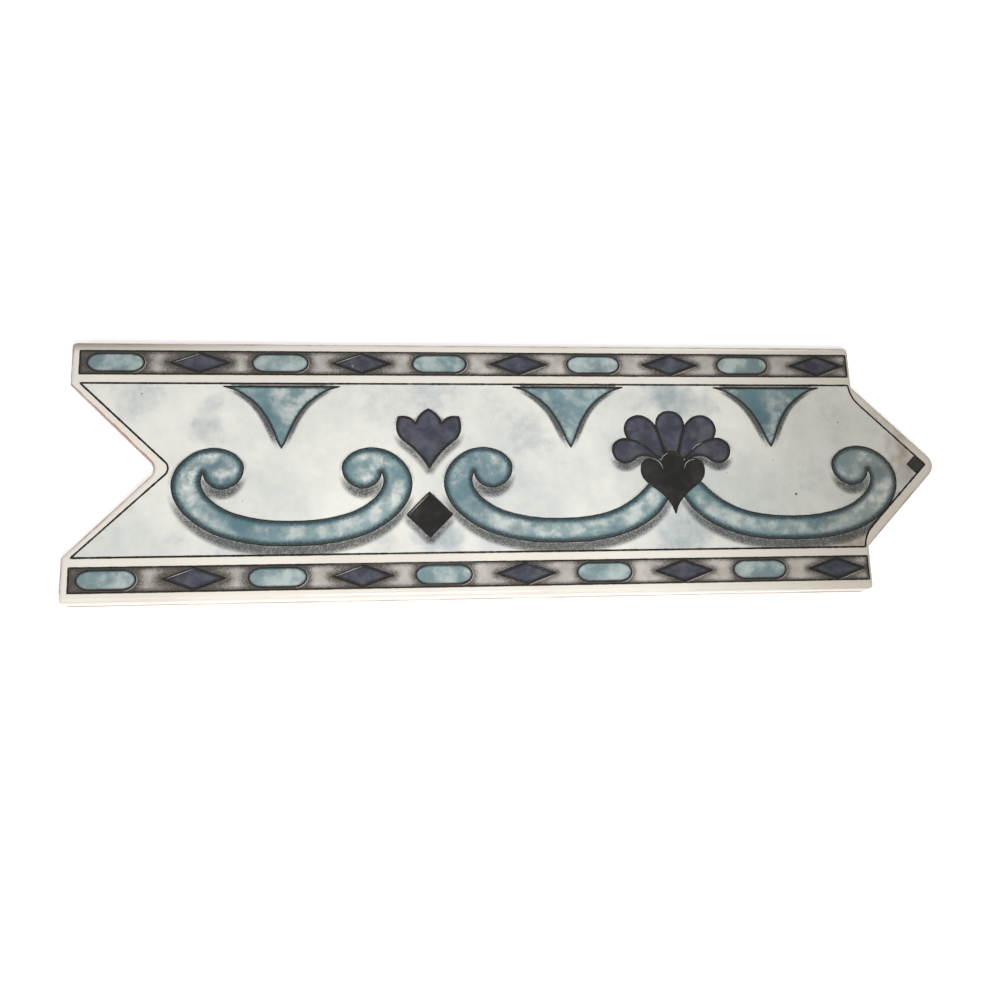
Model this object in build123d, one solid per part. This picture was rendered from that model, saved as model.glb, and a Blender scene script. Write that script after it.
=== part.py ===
"""A pressed and fired border tile, 200 x 65 mm, with a V notch at one end and a matching point at the other.

Tiles in a row interlock: the point of one sits in the notch of the next. The tile is one fired
piece. It lies face up: X runs along the border towards the point, Y across it, and Z is up out of
the glazed face. The origin is the middle of the whole outline, on the plane of the back.
"""
from build123d import *
import math
import os

# Face of the tile, in millimetres
BODY_LENGTH = 200.0
WIDTH = 65.0
THICKNESS = 7.0

# The notch and the point: two sides at this angle to the border's line, from shoulders of this width
SHOULDER = 11.0
ARROW_ANGLE = 45.0
NOTCH_ROUND = 2.5
TIP_ROUND = 3.5

# Corners seen from above
OUTER_CORNER_ROUND = 1.2
SHOULDER_ROUND = 0.8

# Edge of the glazed face, and the small bevel that the die leaves round the back
FACE_EDGE_ROUND = 1.3
BACK_BEVEL = 0.5

# Keyed back: a rim all round, and as many ribs along the border, with grooves between, as fit inside it
BACK_RIM = 5.0
RIB_WIDTH = 2.4
GROOVE_WIDTH = 4.2
GROOVE_DEPTH = 0.9
GROOVE_FLOOR_ROUND = 0.35

HALF_WIDTH = WIDTH / 2
ARROW_HALF_WIDTH = HALF_WIDTH - SHOULDER
ARROW_SLOPE = math.tan(math.radians(ARROW_ANGLE))
ARROW_LENGTH = ARROW_HALF_WIDTH / ARROW_SLOPE
HALF_APEX = math.radians(90.0 - ARROW_ANGLE)
# How far its rounding takes the tip back from where the two sides would meet
TIP_CUTBACK = TIP_ROUND * (1.0 / math.cos(HALF_APEX) - 1.0)
TIP_LENGTH = ARROW_LENGTH - TIP_CUTBACK
BODY_LEFT = -(BODY_LENGTH + TIP_LENGTH) / 2
BODY_RIGHT = BODY_LEFT + BODY_LENGTH


def sharp_outline():
    """The tile seen from above, before its corners are rounded, starting at the notch's lower shoulder."""
    return Polyline(
        (BODY_LEFT, -ARROW_HALF_WIDTH),
        (BODY_LEFT, -HALF_WIDTH),
        (BODY_RIGHT, -HALF_WIDTH),
        (BODY_RIGHT, -ARROW_HALF_WIDTH),
        (BODY_RIGHT + ARROW_LENGTH, 0),
        (BODY_RIGHT, ARROW_HALF_WIDTH),
        (BODY_RIGHT, HALF_WIDTH),
        (BODY_LEFT, HALF_WIDTH),
        (BODY_LEFT, ARROW_HALF_WIDTH),
        (BODY_LEFT + ARROW_LENGTH, 0),
        close=True,
    )


def is_apex(corner):
    """True for the deepest point of the notch and the tip of the point."""
    return abs(corner.Y) < ARROW_HALF_WIDTH / 2


def is_outer_corner(corner):
    """True for the four square corners of the body."""
    return abs(corner.Y) > HALF_WIDTH - SHOULDER / 2


def face_outline():
    """The rounded outline of the tile as a flat face."""
    face = make_face(sharp_outline())
    notch_apex = [v for v in face.vertices() if is_apex(v) and v.X < 0]
    face = fillet(notch_apex, NOTCH_ROUND)
    tip = [v for v in face.vertices() if is_apex(v) and v.X > BODY_RIGHT]
    face = fillet(tip, TIP_ROUND)
    corners = [v for v in face.vertices() if is_outer_corner(v)]
    face = fillet(corners, OUTER_CORNER_ROUND)
    shoulders = [
        v
        for v in face.vertices()
        if abs(abs(v.Y) - ARROW_HALF_WIDTH) < SHOULDER_ROUND / 2
    ]
    return fillet(shoulders, SHOULDER_ROUND)


def back_grooves():
    """The grooves between the back's ribs, as one set of cutters that stop at the rim."""
    inside_rim = offset(make_face(sharp_outline()), -BACK_RIM, kind=Kind.INTERSECTION)
    pitch = RIB_WIDTH + GROOVE_WIDTH
    count = int((WIDTH - 2 * BACK_RIM + RIB_WIDTH) / pitch)
    total_length = BODY_LENGTH + 2 * ARROW_LENGTH
    cutters = []
    for row in range(count):
        middle = (row - (count - 1) / 2) * pitch
        strip = Pos(0, middle) * Rectangle(total_length, GROOVE_WIDTH)
        for pocket in (strip & inside_rim).faces():
            cutter = extrude(pocket, GROOVE_DEPTH)
            floor_edges = cutter.faces().sort_by(Axis.Z)[-1].edges()
            cutters.append(fillet(floor_edges, min(GROOVE_FLOOR_ROUND, GROOVE_DEPTH / 2, GROOVE_WIDTH / 4)))
    return cutters


def border_tile():
    """The whole tile: body, rolled face edge, bevelled back edge and keyed back."""
    outline = face_outline()
    body = extrude(outline, THICKNESS)
    front_edges = body.faces().sort_by(Axis.Z)[-1].edges()
    body = fillet(front_edges, FACE_EDGE_ROUND)
    back_edges = body.faces().sort_by(Axis.Z)[0].edges()
    body = chamfer(back_edges, BACK_BEVEL)
    for cutter in back_grooves():
        body = body - cutter
    return body


os.makedirs("parts", exist_ok=True)
tile = border_tile()
tile.label = "border_tile"
export_step(tile, "parts/border_tile.step")
print("tip length", round(TIP_LENGTH, 3), "body from", round(BODY_LEFT, 3), "to", round(BODY_RIGHT, 3))
print("volume cm3", round(tile.volume / 1000, 2), "size", tile.bounding_box().size)
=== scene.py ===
"""Painted face of an interlocking border tile, laid over the fixed model of its fired body.

Every part of the ornament is a thin closed film on the tile's face, in the tile's own frame: X runs
along the border towards the point, Y across it, Z up out of the face, and the origin is the middle of
the back. Outlines are written in millimetres and become metres when a mesh is made.
"""
import math

import bpy
from bpy.props import FloatProperty, FloatVectorProperty, IntProperty, PointerProperty
from mathutils import Matrix, Vector, noise
from mathutils.bvhtree import BVHTree
from mathutils.geometry import delaunay_2d_cdt


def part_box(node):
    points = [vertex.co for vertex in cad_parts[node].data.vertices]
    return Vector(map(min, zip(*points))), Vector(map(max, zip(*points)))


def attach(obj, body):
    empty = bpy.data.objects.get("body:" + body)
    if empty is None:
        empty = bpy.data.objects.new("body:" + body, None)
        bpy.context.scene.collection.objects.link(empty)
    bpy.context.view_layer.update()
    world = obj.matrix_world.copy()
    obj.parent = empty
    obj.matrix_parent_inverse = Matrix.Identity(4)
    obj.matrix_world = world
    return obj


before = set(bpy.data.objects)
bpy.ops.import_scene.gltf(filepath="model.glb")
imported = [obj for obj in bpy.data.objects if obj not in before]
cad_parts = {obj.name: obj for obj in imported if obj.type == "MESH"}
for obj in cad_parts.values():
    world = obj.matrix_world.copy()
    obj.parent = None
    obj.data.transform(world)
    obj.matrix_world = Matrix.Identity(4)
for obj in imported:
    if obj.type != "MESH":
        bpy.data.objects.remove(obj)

bl_info = {
    "name": "Border Tile Painter",
    "version": (1, 0, 0),
    "blender": (4, 5, 0),
    "location": "3D View > Sidebar > Tile",
    "description": "Paints a scroll border, its beaded bands and its glaze on an arrow-ended tile",
    "category": "Object",
}

MM = 0.001
NODE = "border_tile"
BODY = "root"
LOW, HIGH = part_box(NODE)
FACE = HIGH.z
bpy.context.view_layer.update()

# Levels of the painted films above the face, from the ground up
FIELD_LEVEL = 1
MOTIF_LEVEL = 2
INK_LEVEL = 3
UPPER_PETAL_LEVEL = 4
LOWER_PETAL_LEVEL = 6
HEART_LEVEL = 8

# Long edges of the painted parts, from the tile's middle line
FRAME_HALF = 21.72
BAND_INNER = 24.1
BAND_OUTER = 30.1
BAND_MIDDLE = (BAND_INNER + BAND_OUTER) / 2

# Spacing of the points inside a film, finer where its shading is finer
FIELD_SPACING = 0.55
MOTIF_SPACING = 0.5
SCROLL_SPACING = 0.45
BEAD_SPACING = 0.4

# Frame line round the field; each hollow shoulder's points are given by their reach past the field's end
FRAME_LEFT = -107.5
FRAME_RIGHT = 88.65
NOTCH_APEX_X = -85.9
NOTCH_APEX_ROUND = 2.2
POINT_X = 107.45
POINT_START_Y = 16.0
SHOULDER_POINTS = [(0.0, FRAME_HALF), (0.45, 19.7), (1.3, 17.8)]

# Beaded bands
BAND_LEFT = -107.8
BAND_RIGHT = 88.8
OVAL_FIRST_X = -99.25
OVAL_HALF_LENGTH = 6.85
OVAL_HALF_HEIGHT = 2.35
OVAL_END_REACH = 3.3
LOZENGE_FIRST_X = -79.0
LOZENGE_HALF_LENGTH = 7.4
LOZENGE_HALF_HEIGHT = 2.72

# Darkness of the bands: the shares beside a bead and an edge, how far they reach, and the duller left half
BEAD_DARK = 0.72
BEAD_DARK_REACH = 2.6
EDGE_DARK = 0.75
EDGE_DARK_REACH = 1.4
LEFT_DARK = 0.28
LEFT_DARK_FROM = 10.0
LEFT_DARK_FULL = -100.0

# One half of a scroll, measured from its middle: the lower outline, from the eye of the volute
# round its bulb and down to the middle of the sweep
VOLUTE_EYE = (-21.6, -1.2)
VOLUTE_OUTSIDE = [
    VOLUTE_EYE,
    (-21.1, -2.8), (-19.6, -4.5), (-17.0, -5.3), (-14.3, -4.4), (-12.3, -2.0), (-12.1, 0.9),
    (-13.8, 3.2), (-16.4, 4.6), (-19.2, 5.0), (-22.6, 4.4), (-25.6, 2.6), (-27.9, -0.1),
    (-29.0, -3.4), (-28.6, -6.8), (-27.0, -9.9), (-23.9, -13.1), (-19.0, -16.2), (-12.5, -18.3),
    (-6.0, -19.3), (0.0, -19.5),
]
# The upper outline, from the eye down the inside of the volute to the middle of the sweep
VOLUTE_INSIDE = [
    VOLUTE_EYE,
    (-22.15, -3.1), (-21.8, -5.0), (-20.7, -6.9), (-18.6, -8.9), (-15.2, -10.9), (-10.8, -12.3),
    (-5.5, -13.2), (0.0, -13.45),
]
# Where a scroll runs under the heart, its two outlines end inside the heart
TUCKED_OUTSIDE = [
    (-28.6, -6.9), (-27.4, -9.0), (-25.2, -11.9), (-21.5, -14.8), (-15.5, -17.5), (-8.0, -19.1),
    (0.0, -19.5),
]
TUCKED_INSIDE = [
    (-25.0, -3.0), (-23.0, -4.7), (-20.8, -6.9), (-17.4, -9.5), (-12.4, -11.8), (-6.0, -13.1),
    (0.0, -13.45),
]
SCROLL_MIDDLES = (-56.0, 10.1, 70.0)

# Pendant: one side, from its corner on the frame line down to its tip, measured from its middle
PENDANT_HALF_WIDTH = 14.3
PENDANT_TOP = 20.95
PENDANT_SIDE = [
    (-PENDANT_HALF_WIDTH, PENDANT_TOP), (-11.4, 20.0), (-8.0, 17.9), (-5.4, 15.4), (-3.4, 12.4),
    (-1.8, 9.0), (-0.8, 6.4), (0.0, 4.9),
]
PENDANT_MIDDLES = (-58.9, 13.4, 66.1)
# The strip of ink between the frame line and a pendant's top
CAP_HALF_LENGTH = 12.5

# Palmette, measured from its middle line at X = 39.5: half of the centre petal, then one upper
# and one lower petal of the left side, and half of the heart
PALMETTE_X = 39.5
CENTRE_PETAL_HALF = [
    (-1.0, 0.6), (-2.0, 4.2), (-3.2, 7.9), (-3.75, 11.0), (-2.9, 13.3), (-1.2, 14.4),
    (0.0, 14.55),
]
UPPER_PETAL = [
    (-1.6, 1.6), (-6.0, 3.6), (-11.3, 7.2), (-12.05, 9.6), (-11.2, 12.0), (-8.6, 13.4),
    (-6.0, 12.8), (-4.0, 10.8), (-2.9, 8.0), (-2.1, 4.6), (-1.6, 1.6),
]
LOWER_PETAL = [
    (-2.4, -0.4), (-4.0, 2.6), (-6.6, 5.2), (-10.0, 6.9), (-13.1, 7.15), (-15.1, 5.6),
    (-15.35, 3.3), (-14.2, 1.4), (-12.3, 0.7), (-10.4, 1.2), (-8.9, 2.3), (-6.6, 2.6),
    (-4.3, 1.6), (-2.4, -0.4),
]
HEART_TOP_HALF = [
    (-3.1, 0.9), (-2.5, 2.4), (-1.2, 3.6), (0.0, 3.85),
]
HEART_SIDE_HALF = [
    (-3.1, 0.9), (-4.6, 1.7), (-6.4, 1.8), (-7.9, 0.6), (-8.3, -1.2), (-7.8, -3.1),
    (-6.6, -4.5), (-4.2, -6.4), (-2.0, -8.5), (-0.65, -10.6), (0.0, -12.6),
]

# Three-pointed bud, one half measured from its middle line
BUD_X = -22.55
BUD_POINT_HALF = [
    (0.0, 15.2), (-1.5, 14.2), (-2.8, 12.7), (-3.25, 11.5),
]
BUD_SIDE_TOP = [
    (-3.25, 11.5), (-4.5, 12.7), (-6.1, 13.2), (-7.6, 13.1),
]
BUD_SIDE = [
    (-7.6, 13.1), (-8.0, 11.4), (-8.0, 9.6), (-7.2, 7.7), (-5.4, 6.1), (-3.2, 4.0), (-1.4, 1.8),
    (0.0, -0.4),
]

# Black diamond under the bud, and the small one in the tip of the frame
DIAMOND_X = -22.7
DIAMOND_Y = -12.1
DIAMOND_HALF_WIDTH = 5.65
DIAMOND_HALF_HEIGHT = 5.75
TIP_DIAMOND_X = 104.95
TIP_DIAMOND_HALF = 2.4

# Shadows below the motifs: each is the mean of looks straight up, shifted sideways by these millimetres.
# Their reach is given in shadow drops, and they start to fade at the given share of it.
SHADOW_SHIFTS = [0.28 * step for step in range(-4, 5)]
SCROLL_SHADOW_REACH = 1.65
SMALL_SHADOW_REACH = 1.4
SHADOW_FADE_START = 0.4
SHADOW_STRENGTH = 0.66
# Shadows beside the pendants: their shifts, their soft edge as a share of the usual one, and the
# heights between which they fade at the top and at the tip
PENDANT_SHADOW_SHIFTS = [(-1.0, 0.2), (0.6, 0.2)]
PENDANT_SHADOW_EDGE = 0.65
PENDANT_SHADOW_STRENGTH = 0.85
PENDANT_SHADOW_TOP = (FRAME_HALF - 3.5, FRAME_HALF - 0.8)
PENDANT_SHADOW_TIP = (5.0, 10.5)
PENDANT_SHADOW_LEAST = 0.2

# Widths of the lines, as shares of the usual ink width
LINE_WIDTHS = {
    "frame": 1.2,
    "band": 1.0,
    "bead": 0.78,
    "pendant top": 1.0,
    "cap": 1.5,
    "scroll": 0.62,
    "bud": 0.65,
    "petal": 0.55,
    "heart": 0.65,
    "glint": 0.5,
    "pale cap": 0.6,
}
# A tapered line's width at its ends, as a share of its middle's
TAPER = 0.25

# Ink strokes: sides of their section, height as a share of a film's, and waver of their width
STROKE_SIDES = 6
STROKE_HEIGHT = 0.8
STROKE_WAVER = 0.9

# Soft blue-grey clouds of the field: X, Y, reach and strength
CLOUDS = [
    (-93.0, 17.5, 6.0, 0.45), (-76.5, 9.5, 4.5, 0.55), (-75.0, 17.0, 4.0, 0.4),
    (-85.0, -19.0, 5.0, 0.35), (-70.0, -20.0, 6.0, 0.5), (-60.0, -4.0, 7.0, 0.22),
    (-35.0, 16.0, 6.5, 0.3), (-22.5, 19.0, 8.0, 0.5), (-6.0, 15.5, 6.5, 0.3),
    (-19.5, -19.0, 5.5, 0.85), (-34.0, -17.5, 5.0, 0.4), (2.5, 8.5, 7.0, 0.5),
    (-3.0, 2.0, 6.0, 0.25), (12.5, 0.0, 7.0, 0.25), (39.5, 17.8, 6.0, 0.95),
    (49.5, 16.0, 4.5, 0.45), (31.5, 15.5, 3.5, 0.35), (41.0, -17.5, 8.0, 0.75),
    (75.0, -3.0, 8.0, 0.4), (84.0, 12.0, 7.0, 0.35), (62.0, -6.0, 6.0, 0.2),
]
# Wobble of the clouds' and stains' edges: its seed, and the waves to the millimetre, level and size of each
BLOTCH_SEED = 3
BLOTCH_WOBBLES = [(0.11, 3.0, 3.8), (0.38, 5.0, 2.2)]
# Brown stains in the glaze near the point, in the clouds' terms
STAINS = [
    (101.0, 8.0, 2.9, 0.85), (102.6, 4.0, 2.6, 0.75), (103.6, -0.5, 2.8, 0.65),
    (102.8, -4.5, 2.4, 0.5), (85.0, -19.5, 4.5, 0.7), (92.0, -16.0, 3.0, 0.45),
]
# Pale lines: the lozenges left of this X have theirs above left, and the others below right
GLINTS_TURN_X = -20.0
# Pale arcs on the heart's lobes and the right lower petal, measured from the palmette's middle line
HEART_GLINTS = [
    [(-3.0, 1.2), (-2.3, 2.5), (-1.0, 3.4)],
    [(-5.6, 2.1), (-3.9, 1.4), (-2.9, 0.2), (-2.6, -0.9)],
    [(3.0, -0.8), (3.5, 0.5), (4.6, 1.4), (6.0, 1.6)],
    [(5.2, 4.0), (6.6, 5.3), (8.2, 6.1)],
]

# Dark specks fired into the glaze: X, Y and radius
SPECKS = [
    (71.6, -7.7, 0.36), (84.8, 11.5, 0.2), (-92.7, 19.0, 0.22), (53.6, -2.0, 0.16),
    (66.2, 1.4, 0.14), (-68.0, -8.3, 0.13), (20.8, -27.6, 0.12), (-41.4, 26.5, 0.3),
]

# Glaze of the margins, in metres: the stain beside the tip, the painted shade that deepens towards
# the notch along the far edge, and the near side, where the edge's glaze is thickest
MARGIN_STAIN_PLACE = (0.0995, 0.0105, FACE)
MARGIN_STAIN_REACH = 0.009
FAR_EDGE_SHADE_ALONG = (-0.045, -0.108)
FAR_EDGE_SHADE_ACROSS = (0.0293, 0.0316)
NEAR_SIDE = (-0.0305, -0.0295)

# Stage, in metres: half the floor's width, and each lamp's name, place, target and size
FLOOR_HALF = 3.0
LAMPS = [
    ("key", (-0.015, -0.13, 0.26), (-0.015, 0.0, 0.0), 0.08),
    ("fill", (-0.5, -0.45, 0.7), (0.0, 0.0, 0.0), 0.5),
    ("edge", (0.25, 0.5, 0.45), (0.06, 0.0, 0.0), 0.2),
]


# Drawing in the plane


def smooth_run(points, step=0.4):
    """Points no more than about `step` apart on a smooth curve through `points`."""
    if len(points) < 3:
        return straight_run(points, step)
    knots = [Vector(p) for p in points]
    if (knots[0] - knots[-1]).length < 1e-6:
        before = knots[-2]
        after = knots[1]
    else:
        before = 2 * knots[0] - knots[1]
        after = 2 * knots[-1] - knots[-2]
    padded = [before] + knots + [after]
    run = []
    for i in range(1, len(padded) - 2):
        p0, p1, p2, p3 = padded[i - 1 : i + 3]
        gap = (p2 - p1).length
        into = tangent(p0, p1, p2) * gap
        out_of = tangent(p1, p2, p3) * gap
        steps = max(2, math.ceil(gap / step))
        for k in range(steps):
            t = k / steps
            run.append(hermite(p1, p2, into, out_of, t))
    run.append(knots[-1])
    return [tuple(p) for p in run]


def tangent(before, here, after):
    """Direction of a curve at `here`, leaning towards the nearer of its two neighbours."""
    first = here - before
    second = after - here
    first_share = second.length / (first.length + second.length)
    return first / first.length * first_share + second / second.length * (1 - first_share)


def hermite(start, end, start_slope, end_slope, t):
    """Point at `t` of the cubic between two points with the given slopes."""
    t2 = t * t
    t3 = t2 * t
    return (
        start * (2 * t3 - 3 * t2 + 1)
        + start_slope * (t3 - 2 * t2 + t)
        + end * (3 * t2 - 2 * t3)
        + end_slope * (t3 - t2)
    )


def straight_run(points, step=0.5):
    """Points no more than `step` apart along straight lines between `points`."""
    run = []
    for start, end in zip(points, points[1:]):
        start = Vector(start)
        end = Vector(end)
        steps = max(1, math.ceil((end - start).length / step))
        run += [tuple(start.lerp(end, k / steps)) for k in range(steps)]
    run.append(tuple(points[-1]))
    return run


def arc_run(middle, radius, first_degrees, last_degrees, step=0.3):
    """Points along a circular arc."""
    turn = math.radians(last_degrees - first_degrees)
    steps = max(2, math.ceil(abs(turn) * radius / step))
    angles = [math.radians(first_degrees) + turn * k / steps for k in range(steps + 1)]
    return [(middle[0] + radius * math.cos(a), middle[1] + radius * math.sin(a)) for a in angles]


def join_runs(*runs):
    """One closed outline from runs that each start where the last one ended."""
    outline = []
    for run in runs:
        for point in run:
            if not outline or (Vector(point) - Vector(outline[-1])).length > 1e-3:
                outline.append(tuple(point))
    if (Vector(outline[0]) - Vector(outline[-1])).length < 1e-3:
        outline.pop()
    return outline


def moved(points, dx, dy=0.0):
    """The points moved by dx and dy."""
    return [(x + dx, y + dy) for x, y in points]


def mirrored(points):
    """The points mirrored left to right about X = 0, and in the opposite order."""
    return [(-x, y) for x, y in reversed(points)]


def upside_down(points):
    """The points mirrored about Y = 0, and in the opposite order."""
    return [(x, -y) for x, y in reversed(points)]


def frame_outline():
    """The frame line: a V at the notch, and a point with two hollow shoulders at the other end."""
    slope_end = NOTCH_APEX_X - NOTCH_APEX_ROUND * (1 - math.sqrt(0.5))
    rounding = NOTCH_APEX_ROUND * math.sqrt(0.5)
    shoulder = [(FRAME_RIGHT + reach, y) for reach, y in SHOULDER_POINTS]
    shoulder.append((POINT_X - POINT_START_Y, POINT_START_Y))
    upper_right = straight_run([(FRAME_LEFT, FRAME_HALF), (FRAME_RIGHT, FRAME_HALF)]) + smooth_run(shoulder)
    upper_right += straight_run([shoulder[-1], (POINT_X, 0)])
    notch = straight_run([(FRAME_LEFT, -FRAME_HALF), (slope_end, -rounding)])
    notch += arc_run((NOTCH_APEX_X - NOTCH_APEX_ROUND, 0), NOTCH_APEX_ROUND, -45, 45)
    notch += straight_run([(slope_end, rounding), (FRAME_LEFT, FRAME_HALF)])
    return join_runs(notch, upper_right, upside_down(upper_right))


def band_outline(side):
    """One of the two beaded bands: side is 1 for the upper one and -1 for the lower one."""
    low, high = sorted((side * BAND_INNER, side * BAND_OUTER))
    corners = [(BAND_LEFT, low), (BAND_RIGHT, low), (BAND_RIGHT, high), (BAND_LEFT, high)]
    return join_runs(straight_run(corners + corners[:1]))


def oval_outline():
    """A bead with straight long sides and half-oval ends, about the origin."""
    straight = OVAL_HALF_LENGTH - OVAL_END_REACH
    stretch = OVAL_END_REACH / OVAL_HALF_HEIGHT
    end = [(straight + x * stretch, y) for x, y in arc_run((0, 0), OVAL_HALF_HEIGHT, -90, 90, 0.2)]
    other_end = [(-x, -y) for x, y in end]
    top = straight_run([end[-1], other_end[0]])
    bottom = straight_run([other_end[-1], end[0]])
    return join_runs(end, top, other_end, bottom)


def diamond_outline(half_width, half_height):
    """A four-cornered lozenge about the origin."""
    corners = [(half_width, 0), (0, half_height), (-half_width, 0), (0, -half_height)]
    return join_runs(straight_run(corners + corners[:1], 0.4))


def lozenge_outline():
    """A lozenge bead about the origin."""
    return diamond_outline(LOZENGE_HALF_LENGTH, LOZENGE_HALF_HEIGHT)


def scroll_outline(middle, left_tucked, right_tucked):
    """A scroll between two volutes, or between a volute and the heart that it runs under."""
    halves = {True: (TUCKED_OUTSIDE, TUCKED_INSIDE), False: (VOLUTE_OUTSIDE, VOLUTE_INSIDE)}
    left_outside, left_inside = (smooth_run(points) for points in halves[left_tucked])
    right_outside, right_inside = (mirrored(smooth_run(points)) for points in halves[right_tucked])
    outline = join_runs(left_outside, right_outside, reversed(right_inside), reversed(left_inside))
    return moved(outline, middle)


def scroll_outlines():
    """All the scrolls: the two that meet at the palmette run under its heart."""
    ends = [(False, False), (False, True), (True, False)]
    return [scroll_outline(x, left, right) for x, (left, right) in zip(SCROLL_MIDDLES, ends)]


def lines_across(half_length, height):
    """A level line across each pendant."""
    return [straight_run([(x - half_length, height), (x + half_length, height)]) for x in PENDANT_MIDDLES]


def pendant_outlines():
    """The hanging triangles with hollow sides."""
    side = smooth_run(PENDANT_SIDE)
    top = straight_run([(PENDANT_HALF_WIDTH, PENDANT_TOP), PENDANT_SIDE[0]])
    return [moved(join_runs(side, mirrored(side), top), x) for x in PENDANT_MIDDLES]


def both_petals(points):
    """A petal and its mirror image, in place on the palmette."""
    run = smooth_run(points)
    return [moved(join_runs(run), PALMETTE_X), moved(join_runs(mirrored(run)), PALMETTE_X)]


def centre_petal_outline():
    """The palmette's upright petal."""
    half = smooth_run(CENTRE_PETAL_HALF)
    return moved(join_runs(half, mirrored(half)), PALMETTE_X)


def heart_outline():
    """The three-lobed heart in the middle of the palmette."""
    top = smooth_run(HEART_TOP_HALF)
    side = smooth_run(HEART_SIDE_HALF)
    outline = join_runs(top, mirrored(top), reversed(mirrored(side)), reversed(side))
    return moved(outline, PALMETTE_X)


def bud_outline():
    """The three-pointed bud."""
    half = smooth_run(BUD_POINT_HALF) + smooth_run(BUD_SIDE_TOP) + smooth_run(BUD_SIDE)
    return moved(join_runs(half, mirrored(half)), BUD_X)


def black_diamond_outline():
    """The diamond under the bud."""
    return moved(diamond_outline(DIAMOND_HALF_WIDTH, DIAMOND_HALF_HEIGHT), DIAMOND_X, DIAMOND_Y)


def tip_diamond_outline():
    """The small diamond in the tip of the frame."""
    return moved(diamond_outline(TIP_DIAMOND_HALF, TIP_DIAMOND_HALF), TIP_DIAMOND_X)


def bead_places(first_x):
    """Middles of one kind of bead on both bands."""
    settings = bpy.context.scene.tile_bands
    pitch = settings.pitch / MM
    return [(first_x + i * pitch, side * BAND_MIDDLE) for side in (1, -1) for i in range(settings.count)]


def bead_outlines():
    """Every bead in its place on the bands, the ovals first."""
    kinds = [(oval_outline(), OVAL_FIRST_X), (lozenge_outline(), LOZENGE_FIRST_X)]
    return [moved(outline, x, y) for outline, first_x in kinds for x, y in bead_places(first_x)]


# Meshes


def scene_object(name, data):
    """A new object in the scene."""
    item = bpy.data.objects.new(name, data)
    bpy.context.scene.collection.objects.link(item)
    return item


def new_piece(name, points, edges, faces):
    """A new object in the scene with the given mesh."""
    mesh = bpy.data.meshes.new(name)
    mesh.from_pydata(points, edges, faces)
    mesh.update()
    return scene_object(name, mesh)


def anticlockwise(outline):
    """The outline in its own order if that runs anticlockwise, and otherwise in the opposite one."""
    pairs = zip(outline, outline[1:] + outline[:1])
    doubled_area = sum(ax * by - bx * ay for (ax, ay), (bx, by) in pairs)
    return outline if doubled_area >= 0 else list(reversed(outline))


def inner_points(outline, spacing):
    """A staggered grid of points over the box of an outline."""
    xs = [x for x, _ in outline]
    ys = [y for _, y in outline]
    row_gap = spacing * math.sqrt(0.75)
    rows = int((max(ys) - min(ys)) / row_gap)
    columns = int((max(xs) - min(xs)) / spacing)
    points = []
    for row in range(1, rows):
        shift = 0.5 * (row % 2)
        y = min(ys) + row * row_gap
        points += [(min(xs) + (column + shift) * spacing, y) for column in range(1, columns)]
    return points


def filled(outline, spacing=None):
    """Corner points and triangles that fill an anticlockwise outline, its own points first."""
    points = list(outline)
    if spacing:
        points += inner_points(outline, spacing)
    coordinates = [Vector(p) for p in points]
    corners, _, faces, *_ = delaunay_2d_cdt(coordinates, [], [list(range(len(outline)))], 1, 1e-5)
    used = sorted({i for face in faces for i in face} | set(range(len(outline))))
    place = {old: new for new, old in enumerate(used)}
    triangles = []
    for face in faces:
        a, b, c = (place[i] for i in face)
        first = corners[face[1]] - corners[face[0]]
        second = corners[face[2]] - corners[face[0]]
        triangles.append((a, b, c) if first.cross(second) > 0 else (a, c, b))
    return [tuple(corners[i]) for i in used], triangles


def film(name, outlines, level, spacing=None):
    """A thin closed film on the face over each outline, its top at the given level."""
    relief = bpy.context.scene.tile_face.film_step
    top = FACE + level * relief
    bottom = FACE - relief
    points = []
    faces = []
    for outline in map(anticlockwise, outlines):
        start = len(points)
        corners, triangles = filled(outline, spacing)
        points += [(x * MM, y * MM, top) for x, y in corners]
        faces += [tuple(start + i for i in t) for t in triangles]
        under = len(points)
        lower_corners, lower_triangles = filled(outline)
        count = len(outline)
        points += [(x * MM, y * MM, bottom) for x, y in lower_corners[:count]]
        faces += [tuple(under + i for i in reversed(t)) for t in lower_triangles]
        for i in range(count):
            j = (i + 1) % count
            faces.append((start + i, under + i, under + j, start + j))
    return new_piece(name, points, [], faces)


def edge_walls(outlines):
    """A tree of upright walls on the outlines, for the distance from a point to the nearest of them."""
    points = []
    faces = []
    for outline in outlines:
        start = len(points)
        count = len(outline)
        for x, y in outline:
            points += [(x, y, -1.0), (x, y, 1.0)]
        for i in range(count):
            a = start + 2 * i
            b = start + 2 * ((i + 1) % count)
            faces.append((a, b, b + 1, a + 1))
    return BVHTree.FromPolygons(points, faces)


def flat_cover(outlines):
    """A tree of the filled outlines: the distance to it is nothing inside them."""
    points = []
    faces = []
    for outline in map(anticlockwise, outlines):
        start = len(points)
        corners, triangles = filled(outline)
        points += [(x, y, 0.0) for x, y in corners]
        faces += [tuple(start + i for i in t) for t in triangles]
    return BVHTree.FromPolygons(points, faces)


def distance(tree, x, y):
    """Distance in millimetres from a point of the face to the nearest part of a tree."""
    return tree.find_nearest((x, y, 0.0))[3]


def store_values(piece, name, values):
    """Store one value for each point of a piece."""
    piece.data.attributes.new(name, "FLOAT", "POINT").data.foreach_set("value", values)


def paint_value(piece, name, value_at):
    """Store value_at(x, y), with x and y in millimetres, on every point of a piece."""
    store_values(piece, name, [value_at(v.co.x / MM, v.co.y / MM) for v in piece.data.vertices])


def rim_of(outlines):
    """Function that gives a point's distance from the outlines, in millimetres."""
    walls = edge_walls(outlines)
    return lambda x, y: distance(walls, x, y)


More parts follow.
